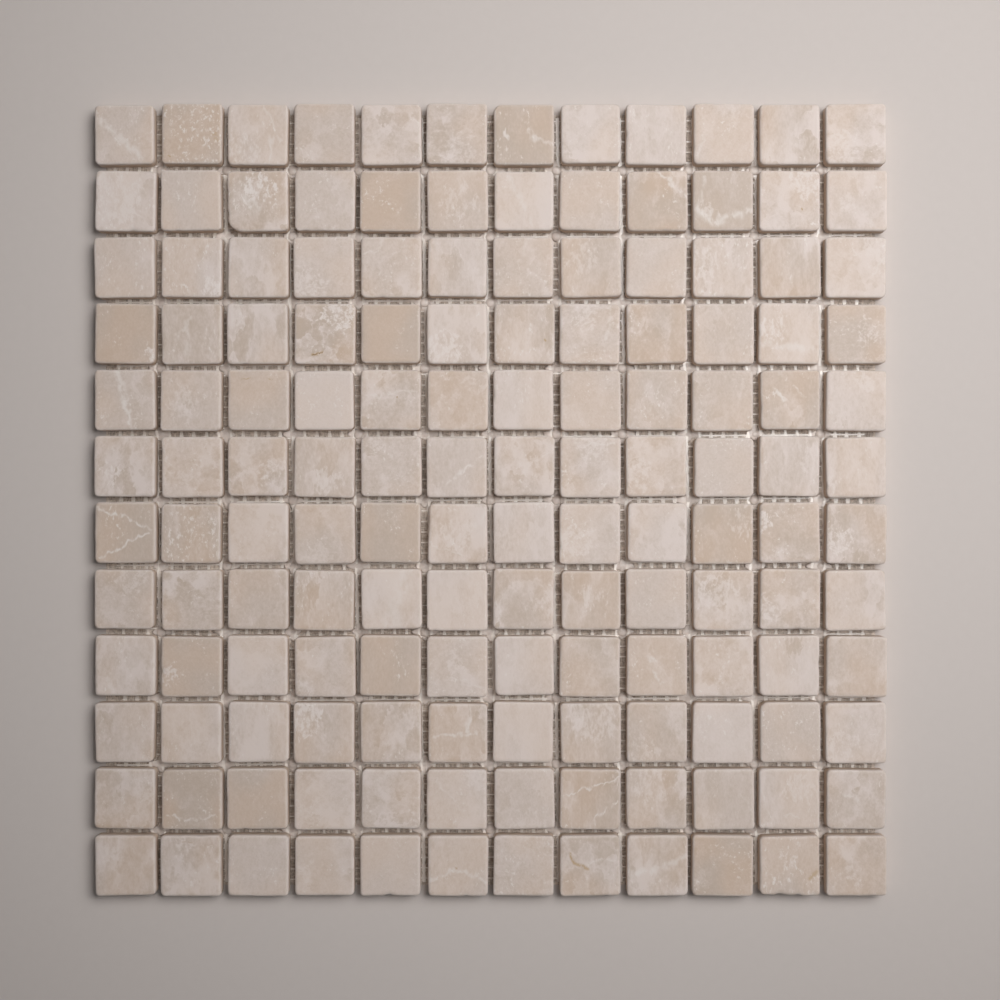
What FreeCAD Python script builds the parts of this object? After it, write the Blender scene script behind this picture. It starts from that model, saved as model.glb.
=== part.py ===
import FreeCAD, Part
import math
import os
import Sketcher

# Mosaic tile sheet: tumbled stone tiles glued on a square of glass-fibre mesh
# Millimetres, lying flat, tile faces up, origin at the middle of the underside

os.makedirs("parts", exist_ok=True)
doc = FreeCAD.newDocument("mosaic_tile_sheet")

ROWS = 12
COLUMNS = 12

# Driving sizes
sizes = doc.addObject("Spreadsheet::Sheet", "Sizes")
SIZE_CELLS = [
    ("tile_side", 23.3, "length of each side of a tile"),
    ("tile_thickness", 8.0, "tile, back to face"),
    ("joint_width", 2.1, "open joint between two tiles"),
    ("corner_round", 1.6, "upright corners worn round by tumbling"),
    ("worn_corner_round", 4.0, "the same on a badly worn corner"),
    ("face_round", 1.0, "rim of the face worn round by tumbling"),
    ("back_round", 0.6, "rim of the back worn round by tumbling"),
    ("out_of_square", 0.35, "how far a sawn corner strays from square"),
    ("tile_stray", 0.25, "how far a tile strays from its place"),
    ("tile_turn", 0.6, "degrees a tile may be turned"),
    ("mesh_setback", 2.8, "room kept free of mesh inside the outer tile edges"),
    ("strand_tail", 1.2, "cut strand end past the last strand it crosses"),
    ("warp_pitch", 4.75, "between the wide strands"),
    ("warp_width", 1.0, "wide strand, a flat pair of yarns"),
    ("warp_thickness", 0.25, "wide strand"),
    ("weft_pitch", 4.05, "between the narrow strands"),
    ("weft_width", 0.5, "narrow strand"),
    ("weft_thickness", 0.2, "narrow strand"),
    ("dot_diameter", 4.3, "glue dot at a crossing of the joints"),
    ("dot_height", 1.1, "a full glue dot"),
    ("dot_film", 0.5, "a glue dot that was pressed thin"),
]
for line, (alias, value, meaning) in enumerate(SIZE_CELLS, start=1):
    sizes.set("A%d" % line, alias)
    sizes.set("B%d" % line, str(value))
    sizes.set("C%d" % line, meaning)
    sizes.setAlias("B%d" % line, alias)
doc.recompute()

MODULE = "(Sizes.tile_side + Sizes.joint_width)"
MESH_THICKNESS = "(Sizes.weft_thickness + Sizes.warp_thickness)"
STRAND_ROOM = "(%d * " + MODULE + " - Sizes.joint_width - 2 * Sizes.mesh_setback - 2 * Sizes.strand_tail)"
WARP_COUNT = "(2 * floor((%s - Sizes.warp_width) / 2 / Sizes.warp_pitch) + 1)" % (STRAND_ROOM % COLUMNS)
WEFT_COUNT = "(2 * floor((%s - Sizes.weft_width) / 2 / Sizes.weft_pitch) + 1)" % (STRAND_ROOM % ROWS)
WARP_SPAN = "((%s - 1) * Sizes.warp_pitch)" % WARP_COUNT
WEFT_SPAN = "((%s - 1) * Sizes.weft_pitch)" % WEFT_COUNT


def plane_of(body, role):
    return [f for f in body.Origin.OriginFeatures if f.Role == role][0]


def new_sketch(body, name, role):
    sketch = body.newObject("Sketcher::SketchObject", name)
    sketch.AttachmentSupport = [(plane_of(body, role), "")]
    sketch.MapMode = "FlatFace"
    return sketch


def closed_outline(sketch, points):
    """Draws a closed outline of straight lines through points given as pairs of
    expressions, each with its first value beside it."""
    count = len(points)
    for n in range(count):
        a = points[n]
        b = points[(n + 1) % count]
        sketch.addGeometry(Part.LineSegment(FreeCAD.Vector(a[2], a[3], 0), FreeCAD.Vector(b[2], b[3], 0)))
    for n in range(count):
        sketch.addConstraint(Sketcher.Constraint("Coincident", n, 2, (n + 1) % count, 1))
    for n in range(count):
        x, y, x0, y0 = points[n]
        number = sketch.addConstraint(Sketcher.Constraint("DistanceX", -1, 1, n, 1, x0))
        sketch.setExpression("Constraints[%d]" % number, x)
        number = sketch.addConstraint(Sketcher.Constraint("DistanceY", -1, 1, n, 1, y0))
        sketch.setExpression("Constraints[%d]" % number, y)


def edge_names(shape, wanted):
    return ["Edge%d" % n for n, edge in enumerate(shape.Edges, start=1) if wanted(edge)]


def is_upright(edge):
    box = edge.BoundBox
    return box.ZLength > 1e-3 and box.XLength < 1e-3 and box.YLength < 1e-3


def lies_at(height):
    return lambda edge: edge.BoundBox.ZLength < 1e-4 and abs(edge.BoundBox.ZMin - height) < 1e-4


# One tumbled tile: a sawn square, a little out of true, with every edge worn round
def tumbled_tile(name, strays, shrink, rounding, worn):
    """strays moves the four corners in shares of out_of_square, shrink takes a share
    of it off the side, rounding scales the corner rounding, worn names the first
    corner's size."""
    body = doc.addObject("PartDesign::Body", name)
    outline = new_sketch(body, name + "_outline", "XY_Plane")
    side = sizes.tile_side
    points = []
    for (sx, sy), (dx, dy) in zip(((1, 1), (-1, 1), (-1, -1), (1, -1)), strays):
        x = "%d * (Sizes.tile_side / 2 - %.2f * Sizes.out_of_square)" % (sx, shrink + dx)
        y = "%d * (Sizes.tile_side / 2 - %.2f * Sizes.out_of_square)" % (sy, shrink + dy)
        points.append((x, y, sx * side / 2, sy * side / 2))
    closed_outline(outline, points)
    slab = body.newObject("PartDesign::Pad", name + "_slab")
    slab.Profile = outline
    slab.setExpression("Length", "Sizes.tile_thickness")
    doc.recompute()

    def is_first_corner(edge):
        return is_upright(edge) and edge.BoundBox.XMin > 0 and edge.BoundBox.YMin > 0

    def is_other_corner(edge):
        return is_upright(edge) and not is_first_corner(edge)

    first = body.newObject("PartDesign::Fillet", name + "_first_corner")
    first.Base = (slab, edge_names(slab.Shape, is_first_corner))
    first.setExpression("Radius", worn)
    doc.recompute()
    corners = body.newObject("PartDesign::Fillet", name + "_corners")
    corners.Base = (first, edge_names(first.Shape, is_other_corner)[:3])
    corners.setExpression("Radius", "%.2f * Sizes.corner_round" % rounding)
    doc.recompute()
    face = body.newObject("PartDesign::Fillet", name + "_face_rim")
    face.Base = (corners, edge_names(corners.Shape, lies_at(sizes.tile_thickness)))
    face.setExpression("Radius", "min(Sizes.face_round; 0.9 * %.2f * Sizes.corner_round)" % rounding)
    doc.recompute()
    back = body.newObject("PartDesign::Fillet", name + "_back_rim")
    back.Base = (face, edge_names(face.Shape, lies_at(0.0)))
    back.setExpression("Radius", "min(Sizes.back_round; 0.9 * %.2f * Sizes.corner_round)" % rounding)
    body.Tip = back
    doc.recompute()
    return body


ROUNDED = "1.25 * Sizes.corner_round"
WORN = "Sizes.worn_corner_round"
TILE_KINDS = {
    "true": tumbled_tile("tile_true", ((0, 0), (0, 0), (0, 0), (0, 0)), 0.0, 1.0, ROUNDED),
    "lean": tumbled_tile("tile_lean", ((0, 0.6), (0.2, 0), (0, 0.3), (0.5, 0)), 0.1, 0.9, ROUNDED),
    "wedge": tumbled_tile("tile_wedge", ((0.8, 0), (0.5, 0.2), (0, 0), (0, 0.4)), 0.0, 1.1, ROUNDED),
    "small": tumbled_tile("tile_small", ((0, 0.2), (0.3, 0), (0.2, 0), (0, 0.1)), 0.8, 1.2, ROUNDED),
    "skew": tumbled_tile("tile_skew", ((0, 1.8), (0.4, 0), (1.0, 0.2), (0, 1.2)), 0.2, 1.1, ROUNDED),
    "worn": tumbled_tile("tile_worn", ((0.3, 0), (0, 0.2), (0.2, 0), (0, 0.3)), 0.1, 1.1, WORN),
}

# Twelve rows of tiles, each tile laid by hand in its place: kind and quarter turns
PLAIN_KINDS = ("true", "lean", "wedge", "small", "lean", "true", "wedge")
ODD_TILES = {
    (2, 3): ("worn", 2),
    (10, 11): ("worn", 1),
    (1, 7): ("worn", 1),
    (7, 6): ("skew", 1),
    (10, 1): ("skew", 3),
    (12, 11): ("skew", 2),
}
for row in range(1, ROWS + 1):
    tiles = []
    for column in range(1, COLUMNS + 1):
        k = 12 * row + column
        kind, quarters = ODD_TILES.get((row, column), (PLAIN_KINDS[(5 * k + row) % 7], (3 * k + row) % 4))
        stray_x = math.sin(2.31 * k + 0.4)
        stray_y = math.sin(3.17 * k + 1.9)
        turn = math.sin(4.43 * k + 0.8)
        tile = doc.addObject("App::Link", "tile_%02d_%02d" % (row, column))
        tile.LinkedObject = TILE_KINDS[kind]
        tile.LinkTransform = False
        across = column - (COLUMNS + 1) / 2
        place_x = "%.1f * %s + %.3f * Sizes.tile_stray" % (across, MODULE, stray_x)
        tile.setExpression("Placement.Base.x", place_x)
        tile.setExpression("Placement.Base.y", "%.3f * Sizes.tile_stray" % stray_y)
        tile.setExpression("Placement.Rotation.Angle", "%d + %.3f * Sizes.tile_turn" % (90 * quarters, turn))
        tiles.append(tile)
    tile_row = doc.addObject("Part::Compound", "tile_row_%02d" % row)
    tile_row.Label = "tile_row_%02d" % row
    tile_row.Links = tiles
    up = (ROWS + 1) / 2 - row
    tile_row.setExpression("Placement.Base.y", "%.1f * %s" % (up, MODULE))
    tile_row.setExpression("Placement.Base.z", MESH_THICKNESS)


# Mesh strands: one layer laid over the other, each cut off a tail past its last crossing
def strand_layer(label, thickness, width, length, count, span, along_x):
    body = doc.addObject("PartDesign::Body", label)
    body.Label = label
    section = new_sketch(body, label + "_strand", "XY_Plane")
    points = []
    for sx, sy in ((-1, -1), (1, -1), (1, 1), (-1, 1)):
        along = "%d * %s / 2" % (sx if along_x else sy, length)
        across = "%d * %s / 2 - %s / 2" % (sy if along_x else sx, width, span)
        if along_x:
            points.append((along, across, sx * 140.0, sy * 0.5 - 140.0))
        else:
            points.append((across, along, sx * 0.5 - 140.0, sy * 140.0))
    closed_outline(section, points)
    strand = body.newObject("PartDesign::Pad", label + "_pad")
    strand.Profile = section
    strand.setExpression("Length", thickness)
    doc.recompute()
    layer = body.newObject("PartDesign::LinearPattern", label + "_pattern")
    layer.Originals = [strand]
    layer.Direction = (section, ["V_Axis" if along_x else "H_Axis"])
    layer.setExpression("Occurrences", count)
    layer.setExpression("Length", span)
    body.Tip = layer
    doc.recompute()
    return body


WEFT_LENGTH = "(%s + Sizes.warp_width + 2 * Sizes.strand_tail)" % WARP_SPAN
WARP_LENGTH = "(%s + Sizes.weft_width + 2 * Sizes.strand_tail)" % WEFT_SPAN
weft = strand_layer("mesh_weft", "Sizes.weft_thickness", "Sizes.weft_width",
                    WEFT_LENGTH, WEFT_COUNT, WEFT_SPAN, True)
warp = strand_layer("mesh_warp", "Sizes.warp_thickness", "Sizes.warp_width",
                    WARP_LENGTH, WARP_COUNT, WARP_SPAN, False)
warp.setExpression("Placement.Base.z", "Sizes.weft_thickness")


# Glue dots: low round domes on the mesh where four tiles meet
def glue_dot(name, height, share):
    """A dome turned from its half section; share scales its diameter, which always
    reaches from one wide strand to the next."""
    body = doc.addObject("PartDesign::Body", name)
    radius = ("(max(%.2f * Sizes.dot_diameter; Sizes.warp_pitch - Sizes.warp_width + 0.3) / 2)" % share)
    half = new_sketch(body, name + "_half_section", "XZ_Plane")
    closed_outline(half, [
        ("0 * Sizes.dot_height", "0 * Sizes.dot_height", 0.0, 0.0),
        (radius, "0 * Sizes.dot_height", 2.0, 0.0),
        ("0.86 * " + radius, "0.62 * " + height, 1.7, 0.6),
        ("0.50 * " + radius, "0.93 * " + height, 1.0, 0.9),
        ("0 * Sizes.dot_height", height, 0.0, 1.0),
    ])
    dome = body.newObject("PartDesign::Revolution", name + "_dome")
    dome.Profile = half
    dome.ReferenceAxis = (half, ["V_Axis"])
    dome.Angle = 360.0
    body.Tip = dome
    doc.recompute()
    return body


DOT_KINDS = (
    glue_dot("dot_full", "Sizes.dot_height", 1.0),
    glue_dot("dot_thin", "Sizes.dot_film", 0.94),
)
dots = []
for row in range(1, ROWS):
    for column in range(1, COLUMNS):
        k = 12 * row + column
        full = row == 1 or math.sin(1.7 * k) > 0.55
        dot = doc.addObject("App::Link", "dot_%02d_%02d" % (row, column))
        dot.LinkedObject = DOT_KINDS[0 if full else 1]
        dot.LinkTransform = False
        across = column - COLUMNS / 2
        up = ROWS / 2 - row
        dot.setExpression("Placement.Base.x", "%.1f * %s" % (across, MODULE))
        dot.setExpression("Placement.Base.y", "%.1f * %s" % (up, MODULE))
        dots.append(dot)
glue = doc.addObject("Part::Compound", "glue_dots")
glue.Label = "glue_dots"
glue.Links = dots
glue.setExpression("Placement.Base.z", MESH_THICKNESS)

doc.recompute()

# Export, one file for each sub-part
for thing in doc.Objects:
    for state in thing.State:
        if state in ("Invalid", "Error"):
            raise RuntimeError("%s is %s" % (thing.Label, state))
labels = ["tile_row_%02d" % row for row in range(1, ROWS + 1)]
labels += ["mesh_weft", "mesh_warp", "glue_dots"]
for label in labels:
    sub_part = doc.getObjectsByLabel(label)[0]
    if sub_part.Shape.isNull() or not sub_part.Shape.isValid():
        raise RuntimeError(label + " has no valid shape")
    sub_part.Shape.exportStep("parts/%s.step" % label)
    box = sub_part.Shape.BoundBox
    print("%-14s solids %3d  z %.2f to %.2f  x %.1f to %.1f" % (
        label, len(sub_part.Shape.Solids), box.ZMin, box.ZMax, box.XMin, box.XMax))
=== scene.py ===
import math
import random

import bmesh
import bpy
from mathutils import Matrix, Vector, noise


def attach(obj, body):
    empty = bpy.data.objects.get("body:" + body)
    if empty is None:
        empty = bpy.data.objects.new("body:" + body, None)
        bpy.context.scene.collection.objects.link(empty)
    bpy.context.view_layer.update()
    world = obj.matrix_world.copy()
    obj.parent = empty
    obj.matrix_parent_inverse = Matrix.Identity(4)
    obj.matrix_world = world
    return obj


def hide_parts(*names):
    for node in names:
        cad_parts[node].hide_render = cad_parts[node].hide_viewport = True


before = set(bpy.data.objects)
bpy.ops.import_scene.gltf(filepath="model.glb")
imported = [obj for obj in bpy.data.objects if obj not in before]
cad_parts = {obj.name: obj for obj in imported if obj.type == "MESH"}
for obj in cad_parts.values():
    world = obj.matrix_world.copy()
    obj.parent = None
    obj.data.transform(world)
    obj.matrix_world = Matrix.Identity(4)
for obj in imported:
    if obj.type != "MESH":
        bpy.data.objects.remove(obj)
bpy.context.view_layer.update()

# The sheet lies flat and is looked at from straight above, about 0.8 m over the tile
# faces and a few millimetres to the right of its middle, as on a copy stand. The
# camera is square to the sheet.
camera = bpy.data.cameras.new("copy_stand_camera")
camera.sensor_width = 36.0
camera.lens = 75.4
camera.clip_start = 0.02
camera_head = bpy.data.objects.new("copy_stand_camera", camera)
camera_head.location = (0.0036, 0.0, 0.808)
bpy.context.scene.collection.objects.link(camera_head)
bpy.context.scene.camera = camera_head
bpy.context.scene.view_settings.view_transform = "Standard"

# Stone tiles: squares of cream marble, 23.3 mm on a side and 8 mm thick, sawn and then
# tumbled with grit until each edge is worn round and pale; the pale rims are partly a
# painted highlight. They are laid by hand, so each strays and turns a little, and the
# grain of each runs its own way.
TILE = .0233
JOINT = .0021
PITCH = TILE + JOINT
THICK = .008
TILE_BACK = .00045
PER_SIDE = 12

# one blank for all: a netted face, rings down the sides and a plain back
NET_SQUARES = 24
SIDE_RINGS = 7
tile_blank = bmesh.new()
bmesh.ops.create_grid(tile_blank, x_segments=NET_SQUARES, y_segments=NET_SQUARES, size=1.0)
drawn_edges = [e for e in tile_blank.edges if e.is_boundary]
for ring in range(SIDE_RINGS):
    drawn = bmesh.ops.extrude_edge_only(tile_blank, edges=drawn_edges)["geom"]
    drawn_verts = [g for g in drawn if isinstance(g, bmesh.types.BMVert)]
    bmesh.ops.translate(tile_blank, vec=(0, 0, -1), verts=drawn_verts)
    drawn_edges = [g for g in drawn if isinstance(g, bmesh.types.BMEdge) and g.is_boundary]
back_face = bmesh.ops.contextual_create(tile_blank, geom=drawn_edges)["faces"]
bmesh.ops.recalc_face_normals(tile_blank, faces=tile_blank.faces)
for face in tile_blank.faces:
    face.smooth = face not in back_face
tile_net = bpy.data.meshes.new("tile_net")
tile_blank.to_mesh(tile_net)
tile_blank.free()

# from here to the end of shape_tile, lengths are in millimetres
MM = .001
THICK_MM = THICK / MM
FACE_ROUND = .95
BACK_ROUND = .6
# width of the pale rim, which is partly wear and partly a painted highlight
PALE_RIM = 1.4
STRAY = .25
TURN_DEGREES = .6

# sawn shapes: how far each corner strays inward, how much the side is short, how round
# the corners are, and how round the first corner is
SHAPES = {
    "true": (((0, 0), (0, 0), (0, 0), (0, 0)), 0.0, 1.6, 2.0),
    "lean": (((0, .21), (.07, 0), (0, .105), (.175, 0)), 0.035, 1.45, 2.0),
    "wedge": (((.28, 0), (.175, .07), (0, 0), (0, .14)), 0.0, 1.75, 2.0),
    "small": (((0, .07), (.105, 0), (.07, 0), (0, .035)), 0.28, 1.9, 2.0),
    "skew": (((0, .63), (.14, 0), (.35, .07), (0, .42)), 0.07, 1.75, 2.0),
    "worn": (((.105, 0), (0, .07), (.07, 0), (0, .105)), 0.035, 1.75, 5.2),
    "rubbed": (((.105, 0), (0, .07), (.07, 0), (0, .105)), 0.035, 1.75, 3.3),
}
LAID_SHAPES = ("true", "lean", "wedge", "small", "lean", "true", "wedge")
ODD_TILES = {(2, 3): ("worn", 2), (10, 11): ("rubbed", 1), (1, 7): ("rubbed", 1),
             (7, 6): ("skew", 1), (10, 1): ("skew", 3), (12, 11): ("skew", 2)}

# stones that stand out: overall tone, clouding, white flecks; white veins and brown
# scars as (from, to, width, strength) and a pale patch as (x, y, radius, strength), a
# tan one where the strength is below 0, in millimetres from the tile's middle; chips as
# (x, y, size)
STONES = {
    (1, 1): dict(tone=.1, cloud=.3, veins=[((-9, 5), (7, -8.5), 1.4, .75)]),
    (1, 2): dict(tone=-.75, cloud=.35, flecks=1.0, scars=[((8.6, 0), (9.2, -2.4), 1.3, .4),
                                                          ((-9, -8), (-8.5, -8.5), .4, .9)]),
    (1, 4): dict(tone=-.15, cloud=.35),
    (1, 5): dict(tone=.4, cloud=.9),
    (1, 7): dict(tone=-1.1, flecks=.35, cloud=.25, veins=[
        ((-6.6, 3), (-7, -1.5), .5, .9), ((1, 1.6), (4.4, -1.8), .9, .7), ((4, -1.4), (10.5, -3.4), .7, .6)]),
    (1, 8): dict(tone=.8, cloud=.6),
    (2, 1): dict(tone=.9, cloud=.6, patch=(-4, 1, 9, .7), chips=[(3, -11, 1.6)]),
    (2, 2): dict(tone=.2, cloud=.1),
    (2, 3): dict(tone=-.35, cloud=.9, patch=(.8, 4.6, 5.2, 1.3), veins=[((-3.5, 1), (-1, -3), 2.2, .7)]),
    (2, 4): dict(tone=.15, cloud=.35),
    (2, 5): dict(tone=-1.0, flecks=.35, cloud=.2),
    (2, 7): dict(tone=.8, veins=[((-6, 9), (3, -9), 1.1, .5)]),
    (2, 8): dict(tone=0, cloud=.25),
    (2, 9): dict(tone=-.9, veins=[((0, 11), (11, 2), .7, .8)]),
    (2, 10): dict(tone=-.9, cloud=.3, patch=(-5.5, -4.5, 3, .6), veins=[
        ((-7, 9), (-8.5, -2), .6, .5), ((-9, -3.5), (-2, -8), 2.2, .8), ((-2, -8), (11, -3.5), 1.4, .7)]),
    (2, 11): dict(tone=.3, patch=(7, 7, 5, .7), scars=[((4.8, -3.2), (5.0, -3.4), .5, .9)]),
    (3, 1): dict(tone=.2, cloud=.3, flecks=.25),
    (3, 2): dict(tone=.35, cloud=.5, flecks=.55, patch=(8, -8, 2.6, 1)),
    (3, 3): dict(tone=.25, cloud=.55),
    (3, 4): dict(tone=.4, cloud=.45, patch=(-7, -6, 5, .5)),
    (3, 9): dict(tone=.15, cloud=.2),
    (3, 11): dict(tone=-.4, cloud=.8),
    (4, 1): dict(tone=-.9, patch=(10, -7.2, 1.6, 1), cloud=.2),
    (4, 4): dict(tone=-.7, patch=(5, 7, 6, 1.15), cloud=.9, scars=[((-4.7, -8.2), (-1.2, -7.0), .65, 1)]),
    (4, 5): dict(tone=-1.0, cloud=.15, flecks=.12),
    (4, 6): dict(tone=.55, patch=(-5, -8, 7, .9), cloud=.7),
    (4, 7): dict(tone=-.1, cloud=.8, scars=[((7.7, -2.2), (8, -2.5), .55, .8)]),
    (4, 9): dict(tone=-.75, flecks=.35),
    (4, 10): dict(tone=0, cloud=.3),
    (4, 11): dict(tone=.4, cloud=.6, patch=(-7, 1, 4, .8), veins=[((-10, -4), (9, -6), 1.6, .6)]),
    (4, 12): dict(tone=-.5, cloud=.35, patch=(4, 1, 3.5, .6), veins=[
        ((3, 3), (8.5, 2.5), .6, .45), ((-4, -4.5), (4, -5), .5, .35), ((-5, 6.6), (-1, 6.8), .5, .3)]),
    (5, 1): dict(tone=-.1, cloud=.3, veins=[((-3.5, 11), (0, 1), 1.5, .8), ((0, 1), (2.5, -11), 1.0, .9)]),
    (5, 3): dict(scars=[((-6, 8), (-3, 8.6), .3, .7), ((4, 8), (5, 7.6), .3, .7)]),
    (5, 4): dict(tone=.95, cloud=.05),
    (5, 5): dict(cloud=.8, veins=[((-9, 1.4), (10, 3.4), .5, .5)], scars=[((2.6, 1), (2.7, 1), .45, 1)]),
    (5, 7): dict(tone=.7),
    (5, 8): dict(tone=.05, cloud=.25),
    (5, 11): dict(tone=-.7, veins=[((-7, 4), (-2, 0), .5, .9), ((1, 5), (6, 1), .5, .8)]),
    (6, 1): dict(tone=.1, cloud=1.0, patch=(-5, -3.5, 3.5, 1)),
    (6, 3): dict(tone=.05, cloud=.8, patch=(4.5, -1, 3, .5)),
    (6, 6): dict(tone=.2, veins=[((9, 4), (-4, -6.5), .6, .8)]),
    (6, 10): dict(tone=.15, cloud=.15),
    (7, 1): dict(tone=-.85, cloud=.15, veins=[
        ((-10.5, 9.2), (0, 6.5), .75, 1), ((0, 6.5), (9.3, .6), .6, .9),
        ((9.3, .6), (-9.5, -9.5), .55, .95)]),
    (7, 2): dict(tone=-.6, flecks=1.0, cloud=.5),
    (7, 3): dict(tone=.75, cloud=.8),
    (7, 5): dict(tone=-.95, cloud=.2),
    (7, 9): dict(tone=.5),
    (7, 10): dict(tone=-1.0, patch=(8, 4, 5, .5), cloud=.5),
    (7, 11): dict(tone=-.5, patch=(-10, 4, 2.8, 1), cloud=.7, flecks=.3),
    (7, 12): dict(tone=-.75, patch=(-7, -3, 4, .7), cloud=.6),
    (8, 2): dict(tone=-.3, cloud=1.0),
    (8, 5): dict(tone=.75, cloud=.7, patch=(6, -6, 4.5, -1.2), veins=[((0, -10), (5, 9), 3.6, .45)]),
    (8, 9): dict(tone=.2, cloud=.3),
    (8, 10): dict(tone=.2, patch=(-3, 4, 6, .5), cloud=1.0),
    (8, 11): dict(tone=-.2, patch=(-10, -3, 4, .6), cloud=.7),
    (9, 1): dict(tone=.1, veins=[((-8, -2), (-5, -10), .8, .5)], cloud=.7),
    (9, 2): dict(tone=-.65, cloud=.1, patch=(-9, -3, 3, .9), chips=[(-11, -1.5, 1.5)]),
    (9, 3): dict(tone=.65),
    (9, 5): dict(tone=-.8, cloud=.1),
    (9, 7): dict(tone=.6),
    (9, 9): dict(tone=-.2, veins=[((-2.8, 3.4), (-.6, 1), .7, .8), ((-.6, -2.6), (2.2, -6.4), .7, .8)]),
    (9, 11): dict(tone=.65, cloud=.3, patch=(1.5, 8.5, 3.4, -2.6)),
    (10, 1): dict(tone=.2, cloud=.6),
    (10, 4): dict(tone=.05, patch=(-8, 5, 6, .9), cloud=.5),
    (10, 6): dict(tone=-.1, veins=[((-9, -1.5), (7.6, .3), .7, .75), ((4.4, 10), (4.4, 0), .9, .75)]),
    (10, 7): dict(tone=.9, cloud=.3),
    (10, 8): dict(tone=-.1, patch=(0, 6, 8, .4), cloud=.7),
    (10, 10): dict(tone=.75, cloud=.2),
    (10, 11): dict(tone=-.05, cloud=.15),
    (11, 2): dict(tone=-.95, cloud=.3, veins=[((-9, -6), (0, -8), .6, .8), ((0, -8), (9, -6), .6, .7)]),
    (11, 3): dict(tone=-.55, cloud=.15),
    (11, 8): dict(tone=-.85, cloud=.6, veins=[
        ((-10, 1), (11, 8.6), .4, .85), ((1.3, -11.6), (1.8, -7), .5, .8), ((1.8, -7), (10.6, -.4), .4, .9)]),
    (12, 2): dict(tone=.25, cloud=.7, patch=(-3, 7.5, 3, .5), scars=[((-3, 9.4), (1, 9), .4, .35)]),
    (12, 5): dict(tone=.4, cloud=.15, chips=[(-.5, -11.5, 1.8)]),
    (12, 6): dict(tone=.35, veins=[((-11, -5.6), (-1.2, -1.2), 1.1, .7), ((-1.2, -1.2), (11, -6), .9, .75)],
                  scars=[((-.8, -.6), (-.2, -.8), .35, .8)], chips=[(3, -11.4, 1.2)]),
    (12, 7): dict(tone=.3, flecks=.5, cloud=.7),
    (12, 8): dict(tone=-.3, veins=[((-2, .5), (10, 3), .5, .6)],
                  scars=[((-7.8, 4.4), (-6, 1), .7, .8), ((-6, 1), (-1.2, -.8), .8, .75)]),
    (12, 9): dict(tone=0, cloud=.9, veins=[((-11, -3), (-2, -2), 1.6, .8), ((0, -1), (10, 3), 1.2, .6)]),
    (12, 10): dict(tone=-.9),
    (12, 11): dict(tone=-.1, cloud=.35, flecks=.6, patch=(-.8, 2.2, 2.2, .7),
                   scars=[((10.2, -2), (7.6, -4.8), 1.1, .6)],
                   chips=[(-4, -11, 1.6), (3, -11.3, 1.4), (9, -10.8, 1.3)]),
}


def worn_in(inset, depth, round_off):
    """Slides a point near two sharp faces onto the quarter round between them."""
    if inset >= round_off or depth >= round_off:
        return inset, depth
    a = round_off - inset
    b = round_off - depth
    reach = max(math.hypot(a, b), 1e-9)
    return round_off - round_off * a / reach, round_off - round_off * b / reach


def worn_point(blank_point, k, strays, shrink, rounding, worn):
    """Where wear has brought a point of the blank: x, y, its depth under the face, and
    how pale it is, 1 at the rim and 0 away from it; the pale rim is partly wear and
    partly a painted highlight."""
    half = TILE / 2 / MM - shrink
    u, w, ring = blank_point.x, blank_point.y, round(-blank_point.z)
    # the squares of the net narrow towards the rim
    in_u, in_w = 1 - abs(u), 1 - abs(w)
    x = math.copysign(half * (1 - .85 * in_u * in_u - .15 * in_u), u)
    y = math.copysign(half * (1 - .85 * in_w * in_w - .15 * in_w), w)
    # rims, worn more in some places than in others
    wear = noise.noise(Vector((x * .16, y * .16, k * 3.1)))
    fine = noise.noise(Vector((x * .7, y * .7, k * 5.3)))
    face_round = FACE_ROUND + .35 * wear + .15 * fine
    back_round = BACK_ROUND + .15 * wear
    inset = min(half - abs(x), half - abs(y)) if ring == 0 else 0.0
    if ring == SIDE_RINGS:
        inset = back_round
    depth = (0, .4 * face_round, face_round, THICK_MM / 2,
             THICK_MM - back_round, THICK_MM - .4 * back_round, THICK_MM, THICK_MM)[ring]
    if depth < THICK_MM / 2:
        inset, depth = worn_in(inset, depth, face_round)
    elif depth > THICK_MM / 2:
        inset, up = worn_in(inset, THICK_MM - depth, back_round)
        depth = THICK_MM - up
    x = math.copysign(min(abs(x), half - inset), x)
    y = math.copysign(min(abs(y), half - inset), y)
    # upright corners
    corner = (worn if u > 0 and w > 0 else rounding) + .35 * wear
    past_x, past_y = abs(x) - (half - corner), abs(y) - (half - corner)
    if past_x > 0 and past_y > 0:
        pull = max(past_x, past_y) / math.hypot(past_x, past_y)
        x = math.copysign(half - corner + past_x * pull, x)
        y = math.copysign(half - corner + past_y * pull, y)
    # sawn a little out of square
    right, back = (1 + x / half) / 2, (1 + y / half) / 2
    weights = (right * back, (1 - right) * back, (1 - right) * (1 - back), right * (1 - back))
    signs = ((1, 1), (-1, 1), (-1, -1), (1, -1))
    for weight, (sign_x, sign_y), (stray_x, stray_y) in zip(weights, signs, strays):
        x -= weight * sign_x * stray_x
        y -= weight * sign_y * stray_y
    # sides a little wavy, the face a little dished
    edge = max(abs(x), abs(y)) / half
    pull_in = .03 * (1 + noise.noise(Vector((x * .22, y * .22, depth * .15 + k * 7.7))))
    x *= 1 - pull_in * edge ** 4 / half
    y *= 1 - pull_in * edge ** 4 / half
    if ring == 0:
        depth += .05 * (1 + noise.noise(Vector((x * .12, y * .12, k * 9.1)))) + .02 * (1 + fine)
    rim = max(0.0, min(1.0, 1 - min(half - abs(x), half - abs(y)) / PALE_RIM))
    return x, y, depth, rim


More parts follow.
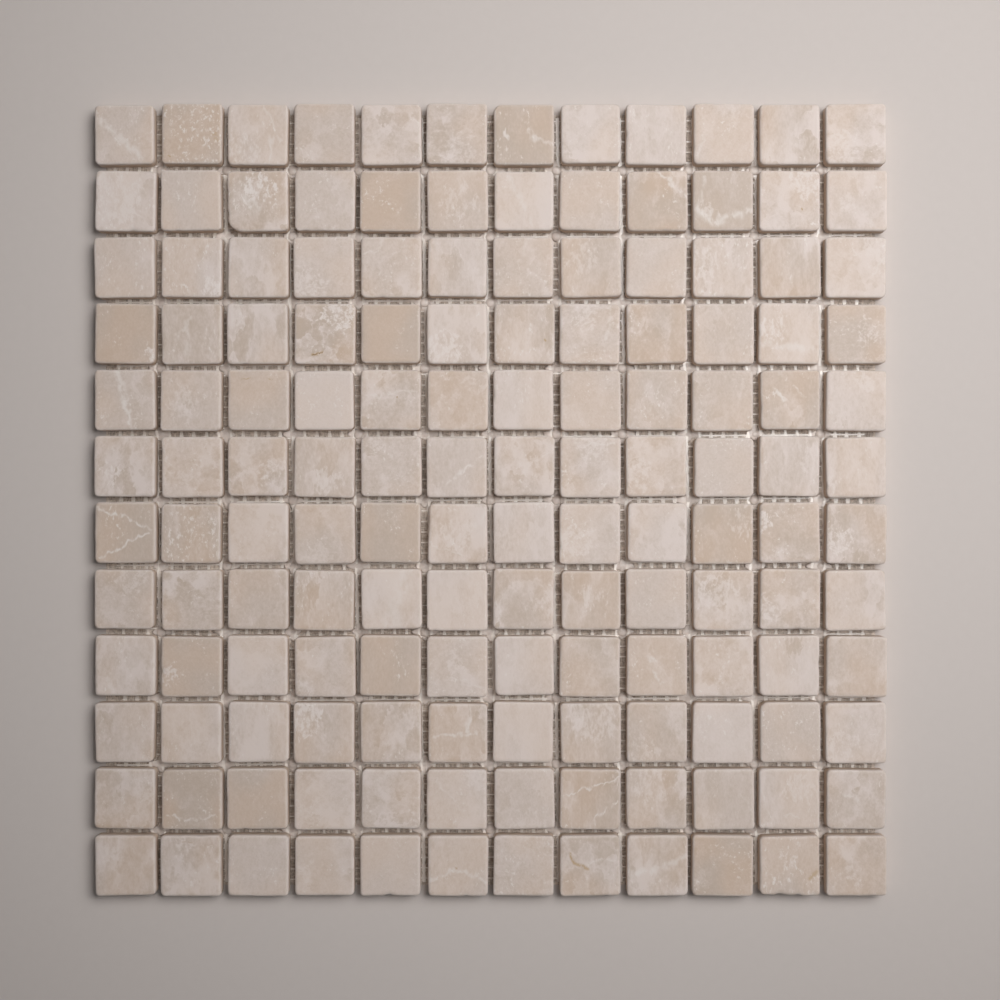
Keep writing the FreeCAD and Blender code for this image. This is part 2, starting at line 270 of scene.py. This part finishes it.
def stone_marks(row, column, chance):
    """The marks of one stone: drawn by chance, or from the list where it stands out."""
    marks = dict(tone=max(-1.1, min(1.1, chance.gauss(.05, .42))), cloud=chance.uniform(.25, .8),
                 flecks=max(0, chance.uniform(-.6, .4)),
                 patch=(chance.uniform(-9, 9), chance.uniform(-9, 9),
                        chance.uniform(2, 6), chance.uniform(0, .5)),
                 veins=[], scars=[], chips=[])
    while chance.random() < .45 and len(marks["veins"]) < 3:
        heading = chance.uniform(0, 6.28)
        start = (chance.uniform(-9, 9), chance.uniform(-9, 9))
        far = chance.uniform(6, 20)
        end = (start[0] + far * math.cos(heading), start[1] + far * math.sin(heading))
        marks["veins"].append((start, end, chance.uniform(.3, .8), chance.uniform(.2, .6)))
    if (row, column) in STONES:
        marks.update(veins=[], patch=(0, 0, 1, 0))
        marks.update(STONES[(row, column)])
    marks["chips"] = list(marks["chips"])
    while chance.random() < .5:
        side = chance.randrange(4)
        along = chance.uniform(-10.5, 10.5)
        x, y = ((11.6, along), (-11.6, along), (along, 11.6), (along, -11.6))[side]
        marks["chips"].append((x, y, chance.uniform(.5, 1.3)))
    return marks


def shape_tile(verts, row, column, layers):
    """Moves the blank's points to one tumbled tile, and writes the stone's own marks."""
    k = PER_SIDE * row + column
    chance = random.Random(7 * k + 3)
    kind, quarters = ODD_TILES.get((row, column), (LAID_SHAPES[(5 * k + row) % 7], (3 * k + row) % 4))
    middle = Vector(((column - 6.5) * PITCH / MM + math.sin(2.31 * k + .4) * STRAY,
                     (6.5 - row) * PITCH / MM + math.sin(3.17 * k + 1.9) * STRAY))
    turn = Matrix.Rotation(math.radians(90 * quarters + TURN_DEGREES * math.sin(4.43 * k + .8)), 2)
    seed = Vector((chance.uniform(-400, 400), chance.uniform(-400, 400), chance.uniform(-400, 400)))
    grain_turn = Matrix.Rotation(chance.uniform(0, 6.28), 3, "Z")
    grain_turn = grain_turn @ Matrix.Rotation(chance.uniform(-.6, .6), 3, "X")
    stretch = Vector((1.0, chance.uniform(.45, 1.0), 1.0))
    marks = stone_marks(row, column, chance)
    patch_x, patch_y, patch_radius, patch_strength = marks["patch"]
    lines = [("vein%d" % n, line) for n, line in enumerate(marks["veins"])]
    lines += [("scar%d" % n, line) for n, line in enumerate(marks["scars"])]

    for v in verts:
        x, y, depth, rim = worn_point(v.co, k, *SHAPES[kind])
        flat = turn @ Vector((x, y))
        z = THICK_MM - depth
        # chips broken out of the rim
        bruise = 0.0
        for chip_x, chip_y, size in marks["chips"]:
            away = Vector((flat.x - chip_x, flat.y - chip_y, (z - 7.6) * .7))
            near = away.length / size
            if near < 1:
                bite = size * .42 * (1 - near * near)
                flat -= flat.normalized() * bite * .7
                z -= bite * (.55 if z > THICK_MM / 2 else 0)
                bruise = max(bruise, 1 - near)
        place = Vector((flat.x, flat.y, z))
        v.co = Vector(((middle.x + flat.x) * MM, (middle.y + flat.y) * MM, TILE_BACK + z * MM))
        v[layers["place"]] = place
        v[layers["grain"]] = grain_turn @ (place * stretch) + seed
        v[layers["stone"]] = Vector((marks["tone"], marks["cloud"], marks["flecks"]))
        v[layers["wear"]] = Vector((rim, bruise, patch_strength))
        # the pale rim written here is partly wear and partly a painted highlight
        v[layers["patch"]] = Vector((patch_x, patch_y, patch_radius))
        # how far along and how far beside each line the point lies, from its middle
        for line, (start, end, width, strength) in lines:
            run = (Vector(end) - Vector(start)) / 2
            away = flat - Vector(start) - run
            half_length = max(run.length, .01)
            beside = Vector((away.dot(run), away.x * run.y - away.y * run.x, 0)) / half_length
            v[layers[line + "_beside"]] = beside
            v[layers[line + "_size"]] = Vector((half_length, width, strength))


STONE_LAYERS = ["place", "grain", "stone", "wear", "patch"]
for line in ("vein0", "vein1", "vein2", "scar0", "scar1"):
    STONE_LAYERS += [line + "_beside", line + "_size"]


class Shade:
    """A socket of a material's node tree. Sums and products written on it add Math nodes."""

    def __init__(self, tree, socket=None):
        self.tree = tree
        self.socket = socket

    def node(self, kind, settings=None, sockets=None, out=0):
        """Adds a node: its settings first, then the values or links of its sockets."""
        added = self.tree.nodes.new(kind)
        for name, value in (settings or {}).items():
            setattr(added, name, value)
        for name, value in (sockets or {}).items():
            if isinstance(value, Shade):
                self.tree.links.new(value.socket, added.inputs[name])
            else:
                added.inputs[name].default_value = value
        return Shade(self.tree, added.outputs[out])

    def math(self, operation, *others):
        inputs = dict(enumerate((self,) + others))
        return self.node("ShaderNodeMath", {"operation": operation}, inputs)

    def __add__(self, other):
        return self.math("ADD", other)

    __radd__ = __add__

    def __mul__(self, other):
        return self.math("MULTIPLY", other)

    __rmul__ = __mul__

    def __sub__(self, other):
        return self.math("SUBTRACT", other)

    def __rsub__(self, other):
        return self.node("ShaderNodeMath", {"operation": "SUBTRACT"}, {0: other, 1: self})

    def __truediv__(self, other):
        return self.math("DIVIDE", other)

    def rise(self, low, high):
        """0 below low, 1 above high, smooth between them."""
        return self.node("ShaderNodeMapRange", {"interpolation_type": "SMOOTHSTEP"},
                         {0: self, 1: low, 2: high, 3: 0.0, 4: 1.0})

    def fall(self, low, high):
        """1 below low, 0 above high, smooth between them."""
        return self.node("ShaderNodeMapRange", {"interpolation_type": "SMOOTHSTEP"},
                         {0: self, 1: low, 2: high, 3: 1.0, 4: 0.0})

    def vector(self, operation, *others, out=0):
        inputs = dict(enumerate((self,) + others))
        return self.node("ShaderNodeVectorMath", {"operation": operation}, inputs, out)

    def blend(self, first, second):
        """The first colour where this is 0, the second where it is 1."""
        return self.node("ShaderNodeMix", {"data_type": "RGBA"}, {0: self, 6: first, 7: second}, out=2)

    def grain_of(self, scale, detail, roughness, distortion=0.0):
        """Noise on these coordinates."""
        return self.node("ShaderNodeTexNoise", {}, {"Vector": self, "Scale": scale, "Detail": detail,
                         "Roughness": roughness, "Distortion": distortion})

    def also(self, out):
        """Another output of the same node."""
        return Shade(self.tree, self.socket.node.outputs[out])

    def bumps(self, strength, distance):
        """A surface that rises with this value."""
        return self.node("ShaderNodeBump", {}, {"Strength": strength, "Distance": distance, "Height": self})

    def parts(self):
        """X, Y and Z of a vector."""
        x = self.node("ShaderNodeSeparateXYZ", {}, {0: self})
        return x, x.also("Y"), x.also("Z")


def new_finish(name, **constants):
    """A material with one principled shader, its shader, and a start for its nodes.
    Constants are set on the shader's own sockets."""
    finish = bpy.data.materials.new(name)
    finish.use_nodes = True
    shader = finish.node_tree.nodes["Principled BSDF"]
    for socket, value in constants.items():
        shader.inputs[socket.replace("_", " ")].default_value = value
    return finish, shader, Shade(finish.node_tree)


def plug(shader, socket, value):
    """Feeds a socket of the principled shader."""
    shader.id_data.links.new(value.socket, shader.inputs[socket])


def srgb(red, green, blue):
    """A paint-chart colour as the light values that Blender takes."""
    return tuple(((c / 255 + .055) / 1.055) ** 2.4 if c > 10 else c / 3295 for c in (red, green, blue)) + (1,)


stone, stone_shader, shade = new_finish("tumbled_cream_marble")


def carried(layer):
    """What the tile's points carry under this name."""
    return shade.node("ShaderNodeAttribute", {"attribute_name": layer}, out="Vector")


place = carried("place")
grain = carried("grain")
tone, clouding, flecking = carried("stone").parts()
rim, bruise, patch_strength = carried("wear").parts()
patch_at = carried("patch")
flatten = (1, 1, 0)
place_flat = place.vector("MULTIPLY", flatten)

clouds = grain.grain_of(.085, 3, .55, .9)
billows = grain.grain_of(.2, 4, .6, 1.6)
mottle = grain.grain_of(.65, 4, .7)
speckle = grain.grain_of(1.45, 3, .6)

# broken and healed stone: tan pieces a few millimetres wide in a paler matrix
torn = grain.grain_of(.3, 2, .55).also("Color").vector("SUBTRACT", (.5, .5, .5))
torn = torn.vector("MULTIPLY", (6, 6, 6))
piece_reach = shade.node("ShaderNodeTexVoronoi", {}, {"Vector": grain.vector("ADD", torn), "Scale": .17})
piece_tone = piece_reach.also("Color").parts()[0]
broken_here = grain.vector("ADD", (17, 3, 29)).grain_of(.07, 1, .5).rise(.42, .6)
pieces = ((piece_tone - .5) * .75 + piece_reach.rise(.4, .8) * .5) * broken_here

# pale patch with a ragged edge, full of fine crystals
patch_radius = patch_at.parts()[2]
to_patch = place_flat.vector("DISTANCE", patch_at.vector("MULTIPLY", flatten), out="Value")
patch_edge = patch_radius - to_patch + (billows - .5) * 18 + (mottle - .5) * 12
patch = patch_edge.rise(-.8, 1.2) * patch_strength
crystals = patch * (mottle + (speckle - .5) * .6 + (billows - .5) * .7).rise(.42, .62)

# the stone's own colour, from tan to cream, each a little cooler or warmer by place
paleness = .5 + tone * .27 + (clouds - .5) * clouding * .8 + (billows - .5) * clouding * .85 \
    + pieces * clouding + (mottle - .5) * (.38 + clouding * .5) + (speckle - .5) * .5 + patch * .16
warmth = grain.vector("ADD", (31, 7, 3)).grain_of(.045, 1, .5)
tan_stone = (warmth + (mottle - .5) * .12).rise(.36, .64).blend(srgb(188, 170, 155), srgb(195, 172, 153))
cream_stone = warmth.rise(.36, .66).blend(srgb(215, 201, 194), srgb(216, 200, 190))
crystal_white = srgb(224, 214, 208)
colour = paleness.rise(0.0, 1.0).blend(tan_stone, cream_stone)
colour = (crystals * .65).blend(colour, crystal_white)


def line_mask(line, shake, soft):
    """1 on a wandering line across the tile, 0 away from it."""
    size = carried(line + "_size")
    width, strength = size.parts()[1:]
    past_end = carried(line + "_beside").vector("ADD", shake).vector("ABSOLUTE")
    past_end = past_end.vector("SUBTRACT", size.vector("MULTIPLY", (1, 0, 0)))
    away = past_end.vector("MAXIMUM", (0, 0, 0)).vector("LENGTH", out="Value")
    return (away / width).fall(.1, soft) * strength


# thin white veins and brown scars wander to both sides of the line that they follow
vein_shake = torn.vector("MULTIPLY", (.9, .9, 0))
vein_white = srgb(224, 215, 209)
veins = line_mask("vein0", vein_shake, 1.5)
for line in ("vein1", "vein2"):
    veins = veins.math("MAXIMUM", line_mask(line, vein_shake, 1.5))
veins = veins * grain.vector("ADD", (9, 41, 17)).grain_of(.42, 2, .65).rise(.3, .58)
colour = (veins * .85).blend(colour, vein_white)

scar_shake = torn.vector("MULTIPLY", (.35, .35, 0))
rust, dark_rust = srgb(174, 140, 88), srgb(112, 88, 60)
scars = line_mask("scar0", scar_shake, 1.3).math("MAXIMUM", line_mask("scar1", scar_shake, 1.3))
scars = scars * (mottle + (speckle - .5) * .6).rise(.34, .5)
colour = (scars * .8).blend(colour, rust)
colour = (scars.rise(.75, 1.0) * .6).blend(colour, dark_rust)

# small ragged white flecks that gather in drifts, and a few dark pits
fleck_white, pit_brown = srgb(225, 216, 210), srgb(138, 112, 88)
fleck_grain = grain.vector("ADD", (3, 27, 11)).grain_of(.85, 3, .66)
drifts = grain.vector("ADD", (71, 5, 13)).grain_of(.13, 1, .5)
flecks = (fleck_grain + flecking * .04).rise(.56, .7) * (drifts + flecking * .16 - .08).rise(.44, .58)
colour = (flecks * .75).blend(colour, fleck_white)
colour = (speckle.rise(.8, .84) * .7).blend(colour, pit_brown)

# worn rims are paler and dustier than the face, and so are fresh chips; the pale rim is
# also a painted highlight, laid evenly round every rim
rim_dust_and_highlight, chip_dust = srgb(222, 211, 205), srgb(221, 212, 205)
colour = ((rim + (mottle - .5) * .5).rise(.15, .95) * .6).blend(colour, rim_dust_and_highlight)
colour = (bruise * .5).blend(colour, chip_dust)

# the lower part of each sawn side, down in the joints, is blended half way to a warm tan:
# painted shade, the warm tone of the sides in the shadow between the tiles; the back
# has dried glue under the mesh
lower_side_shade_tan, dried_glue = srgb(222, 198, 172), srgb(206, 201, 194)
height = place.parts()[2]
colour = ((height + (mottle - .5) * 3).fall(4.5, 7.2) * .5).blend(colour, lower_side_shade_tan)
glue_smear = billows.rise(.42, .6) * height.fall(.02, .3)
colour = (glue_smear * .75).blend(colour, dried_glue)
plug(stone_shader, "Base Color", colour)
plug(stone_shader, "Roughness", .62 + (mottle - .5) * .25 - glue_smear * .25 + bruise * .1)
plug(stone_shader, "Normal", speckle.bumps(.55, .00006))

for row in range(1, PER_SIDE + 1):
    tiles = bmesh.new()
    layers = {name: tiles.verts.layers.float_vector.new(name) for name in STONE_LAYERS}
    for column in range(1, PER_SIDE + 1):
        first = len(tiles.verts)
        tiles.from_mesh(tile_net)
        tiles.verts.ensure_lookup_table()
        shape_tile(tiles.verts[first:], row, column, layers)
    mesh = bpy.data.meshes.new("stone_row_%02d" % row)
    tiles.to_mesh(mesh)
    tiles.free()
    mesh.materials.append(stone)
    stone_row = bpy.data.objects.new("stone_row_%02d" % row, mesh)
    bpy.context.scene.collection.objects.link(stone_row)
    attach(stone_row, "root")
    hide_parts("tile_row_%02d" % row)

# Mesh, wide strands: flat pairs of glass-fibre yarns that run up and down the sheet. The
# two yarns of a pair swap sides between each two narrow strands and grip them, one above
# and one below, and the whole mesh is dipped in resin, which leaves it white and glossy.
WARP_PITCH = .00475
WEFT_PITCH = .00405
WARPS = 61
WEFTS = 73
WARP_WIDE = .001
WEFT_WIDE = .0005
STRAND_TAIL = .0012
WARP_LEAN = -.0187
YARN_SWING = .00032
OVER_HEIGHT = .00034
UNDER_HEIGHT = .00012
warp_length = (WEFTS - 1) * WEFT_PITCH + WEFT_WIDE + 2 * STRAND_TAIL

resin, resin_shader, shade = new_finish("resin_dipped_glass_yarn", Coat_Weight=.8, Coat_Roughness=.25)
where = shade.node("ShaderNodeTexCoord", out="Object")
fibres = shade.node("ShaderNodeAttribute", {"attribute_name": "along"}, out="Vector")
streak = fibres.grain_of(1.0, 4, .65)
dull = where.grain_of(140, 3, .5)
lick = where.grain_of(900, 2, .5)
colour = (streak + (dull - .5) * .8).rise(.25, .8).blend(srgb(232, 222, 213), srgb(252, 247, 241))
plug(resin_shader, "Base Color", colour)
plug(resin_shader, "Roughness", .3 + (lick - .5) * .3)
plug(resin_shader, "Normal", streak.bumps(.5, .00005))


def yarn_blank(length, steps, width, thickness):
    """A straight four-sided yarn along Y, cut into short lengths."""
    yarn = bmesh.new()
    bmesh.ops.create_cube(yarn, size=1.0)
    bmesh.ops.scale(yarn, vec=(width, length, thickness), verts=yarn.verts)
    long_edges = [e for e in yarn.edges if abs(e.verts[0].co.y - e.verts[1].co.y) > length / 2]
    bmesh.ops.subdivide_edges(yarn, edges=long_edges, cuts=steps - 1, use_grid_fill=True)
    blank = bpy.data.meshes.new("yarn_blank")
    yarn.to_mesh(blank)
    yarn.free()
    return blank


def lay_yarns(name, blank, places, path):
    """Lays copies of a yarn at the given places; path(n, along) gives sideways and height."""
    layer = bmesh.new()
    along_layer = layer.verts.layers.float_vector.new("along")
    for n, place_x in enumerate(places):
        first = len(layer.verts)
        layer.from_mesh(blank)
        layer.verts.ensure_lookup_table()
        for v in layer.verts[first:]:
            side, height = path(n, v.co.y)
            v[along_layer] = Vector((v.co.x * 2500 + n * 7.3, v.co.y * 260, v.co.z * 2500))
            v.co.x += place_x + side
            v.co.z += height
    mesh = bpy.data.meshes.new(name)
    layer.to_mesh(mesh)
    layer.free()
    mesh.materials.append(resin)
    yarns = bpy.data.objects.new(name, mesh)
    bpy.context.scene.collection.objects.link(yarns)
    return yarns


warp_places = [(n - (WARPS - 1) / 2) * WARP_PITCH for n in range(WARPS)]
warp_yarn = yarn_blank(warp_length, 2 * WEFTS, .00095, .0002)


def drift(n, y):
    """The mesh was pressed on a little askew, and its strands wander."""
    return WARP_LEAN * y + .00035 * noise.noise(Vector((n * 1.7, y * 14, 3.3)))


def over_path(n, y):
    return drift(n, y) + YARN_SWING * math.cos(math.pi * y / WEFT_PITCH), OVER_HEIGHT


def under_path(n, y):
    return drift(n, y) - YARN_SWING * math.cos(math.pi * y / WEFT_PITCH), UNDER_HEIGHT


for name, path in (("warp_yarns_over", over_path), ("warp_yarns_under", under_path)):
    warp = lay_yarns(name, warp_yarn, warp_places, path)
    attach(warp, "root")
    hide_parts("mesh_warp")

# Mesh, narrow strands: single flat yarns that run across the sheet, one every 4 mm,
# held between the two yarns of each pair.
WEFT_LEAN = .0066
WEFT_HEIGHT = .00022
weft_length = (WARPS - 1) * WARP_PITCH + WARP_WIDE + 2 * STRAND_TAIL
weft_places = [(n - (WEFTS - 1) / 2) * WEFT_PITCH for n in range(WEFTS)]
weft_yarn = yarn_blank(weft_length, 2 * WARPS, .00052, .00016)


def weft_path(n, x):
    return -WEFT_LEAN * x + .0003 * noise.noise(Vector((n * 2.9, x * 16, 8.1))), WEFT_HEIGHT


weft = lay_yarns("weft_yarns", weft_yarn, weft_places, weft_path)
weft.data.transform(Matrix.Rotation(math.radians(-90), 4, "Z"))
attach(weft, "root")
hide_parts("mesh_weft")

# Glue: a whitish dot dried at each crossing of the joints. Some stand as full round
# domes; most were pressed thin and ran out along the mesh under the tile corners.
glue_finish, glue_shader, shade = new_finish("dried_white_glue", Coat_Weight=.15, Coat_Roughness=.25)
where = shade.node("ShaderNodeTexCoord", out="Object")
skin = where.grain_of(420, 4, .6, .5)
thin = where.grain_of(160, 3, .55)
colour = (thin + (skin - .5) * .6).rise(.3, .72).blend(srgb(206, 194, 186), srgb(232, 222, 215))
plug(glue_shader, "Base Color", colour)
plug(glue_shader, "Roughness", .36 + (skin - .5) * .3)
plug(glue_shader, "Normal", skin.bumps(.6, .00012))

lump = bmesh.new()
bmesh.ops.create_uvsphere(lump, u_segments=12, v_segments=6, radius=1.0)
lump_net = bpy.data.meshes.new("glue_lump")
lump.to_mesh(lump_net)
lump.free()

# dabs are (x, y, half width, half depth, height) in millimetres from the crossing
GLUE_BACK = .00022
glue = bmesh.new()
for row in range(1, PER_SIDE):
    for column in range(1, PER_SIDE):
        k = PER_SIDE * row + column
        chance = random.Random(31 * k)
        full = row == 1 or math.sin(1.7 * k) > .55
        centre = Vector(((column - 6) * PITCH, (6 - row) * PITCH, GLUE_BACK))
        dabs = [(0, 0, 2.05, 2.05, .95)] if full else [(chance.uniform(-.5, .5), 0, 1.6, 1.4, .34)]
        dabs.append((chance.uniform(-.8, .8), 0, chance.uniform(3.2, 5.6), 1.6, chance.uniform(.16, .24)))
        dabs.append((0, chance.uniform(-.5, .5), 1.6, chance.uniform(2.4, 4.0), chance.uniform(.14, .22)))
        for x, y, wide, deep, high in dabs:
            first = len(glue.verts)
            glue.from_mesh(lump_net)
            glue.verts.ensure_lookup_table()
            for v in glue.verts[first:]:
                spread = 1 + .16 * noise.noise(Vector((v.co.x * 1.3, v.co.y * 1.3, k * 3.7 + wide)))
                z = v.co.z * high if v.co.z > 0 else v.co.z * .16
                flat = 1.0 if high < .6 else 1.1 - .1 * v.co.z ** 2
                v.co = centre + Vector(((x + v.co.x * wide * spread) * MM, (y + v.co.y * deep * spread) * MM,
                                        z * flat * spread * MM))
for face in glue.faces:
    face.smooth = True
glue_mesh = bpy.data.meshes.new("glue_dabs")
glue.to_mesh(glue_mesh)
glue.free()
glue_mesh.materials.append(glue_finish)
glue_dabs = bpy.data.objects.new("glue_dabs", glue_mesh)
bpy.context.scene.collection.objects.link(glue_dabs)
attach(glue_dabs, "root")
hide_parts("glue_dots")

# Glue film: thin warm-grey glue that ran along the joints and dried in the cells of the
# mesh, ragged at both sides, with the prints of loose fibres in it. Its warm tint is
# partly painted shade, the warm tone of the shaded tile sides round the joints.
FILM_WIDE = .0046
FILM_CELL = .0005
FILM_SHORT = .006
ALONG_X_HEIGHT = .00010
ALONG_Y_HEIGHT = .00013
film_finish, film_shader, shade = new_finish("dried_glue_film_with_painted_shade", Coat_Weight=.1, Coat_Roughness=.35)
where = shade.node("ShaderNodeTexCoord", out="Object")
threads_across = where.vector("MULTIPLY", (300, 2400, 1)).grain_of(1.0, 3, .6)
threads_down = where.vector("MULTIPLY", (2400, 300, 1)).grain_of(1.0, 3, .6)
blots = where.grain_of(700, 4, .65, .5)
broad = where.grain_of(90, 3, .5)
film_tone = .5 + (threads_across - .5) * .9 + (threads_down - .5) * .9 \
    + (blots - .5) * 1.3 + (broad - .5) * .6
# the film's warm greys: dried glue, and partly painted shade from the tile sides
colour = film_tone.rise(.1, .9).blend(srgb(150, 134, 120), srgb(228, 215, 203))
plug(film_shader, "Base Color", colour)
plug(film_shader, "Roughness", .5 + (blots - .5) * .3)
plug(film_shader, "Normal", (threads_across + threads_down + blots).bumps(.7, .0001))

film = bmesh.new()
film_length = PER_SIDE * PITCH - JOINT - FILM_SHORT
film_steps = round(film_length / FILM_CELL / 2)
for n in range(1, PER_SIDE):
    for along_x in (True, False):
        first = len(film.verts)
        bmesh.ops.create_grid(film, x_segments=film_steps, y_segments=4, size=1.0)
        film.verts.ensure_lookup_table()
        middle_line = (n - 6) * PITCH
        for v in film.verts[first:]:
            along, across = v.co.x * film_length / 2, v.co.y * FILM_WIDE / 2
            ragged = 1 + .4 * noise.noise(Vector((along * 300, v.co.y * 2, n * 9.1 + 40 * along_x)))
            sag = .00006 * noise.noise(Vector((along * 500, across * 500, n * 3.3)))
            height = (ALONG_X_HEIGHT if along_x else ALONG_Y_HEIGHT) + sag
            if along_x:
                v.co = Vector((along, middle_line + across * ragged, height))
            else:
                v.co = Vector((middle_line + across * ragged, along, height))
for face in film.faces:
    face.smooth = True
bmesh.ops.recalc_face_normals(film, faces=film.faces)
film_mesh = bpy.data.meshes.new("glue_film")
film.to_mesh(film_mesh)
film.free()
film_mesh.materials.append(film_finish)
glue_film_piece = bpy.data.objects.new("glue_film", film_mesh)
bpy.context.scene.collection.objects.link(glue_film_piece)
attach(glue_film_piece, "root")

# The sheet lies on a plain pale board. A large soft lamp with a grid, at the upper right,
# throws short soft shadows, a weak one straight above reaches into the joints, and a
# little room light fills the rest.
board_finish, board_shader, shade = new_finish("pale_board", Roughness=.75)
where = shade.node("ShaderNodeTexCoord", out="Object")
fibre = where.grain_of(260, 4, .6)
plug(board_shader, "Base Color", fibre.blend(srgb(197, 188, 183), srgb(201, 192, 187)))
plug(board_shader, "Normal", fibre.bumps(.2, .0001))
board = bmesh.new()
bmesh.ops.create_grid(board, x_segments=1, y_segments=1, size=2.5)
board_mesh = bpy.data.meshes.new("board")
board.to_mesh(board_mesh)
board.free()
board_mesh.materials.append(board_finish)
board_top = bpy.data.objects.new("board", board_mesh)
bpy.context.scene.collection.objects.link(board_top)

lamp = bpy.data.lights.new("soft_lamp", "AREA")
lamp.shape = "DISK"
lamp.size = .82
lamp.spread = math.radians(66)
lamp.energy = 2.18
lamp_head = bpy.data.objects.new("soft_lamp", lamp)
lamp_head.location = (.4229, .3075, .9007)
aim = Vector((.102, .114, 0)) - lamp_head.location
lamp_head.rotation_euler = aim.to_track_quat("-Z", "Y").to_euler()
bpy.context.scene.collection.objects.link(lamp_head)

overhead = bpy.data.lights.new("overhead_lamp", "AREA")
overhead.shape = "DISK"
overhead.size = .7
overhead.energy = .6
overhead_head = bpy.data.objects.new("overhead_lamp", overhead)
overhead_head.location = (0, 0, 1.3)
bpy.context.scene.collection.objects.link(overhead_head)

room = bpy.data.worlds.new("room_light")
room.use_nodes = True
room.node_tree.nodes["Background"].inputs["Color"].default_value = (1, 1, 1, 1)
room.node_tree.nodes["Background"].inputs["Strength"].default_value = .072
bpy.context.scene.world = room
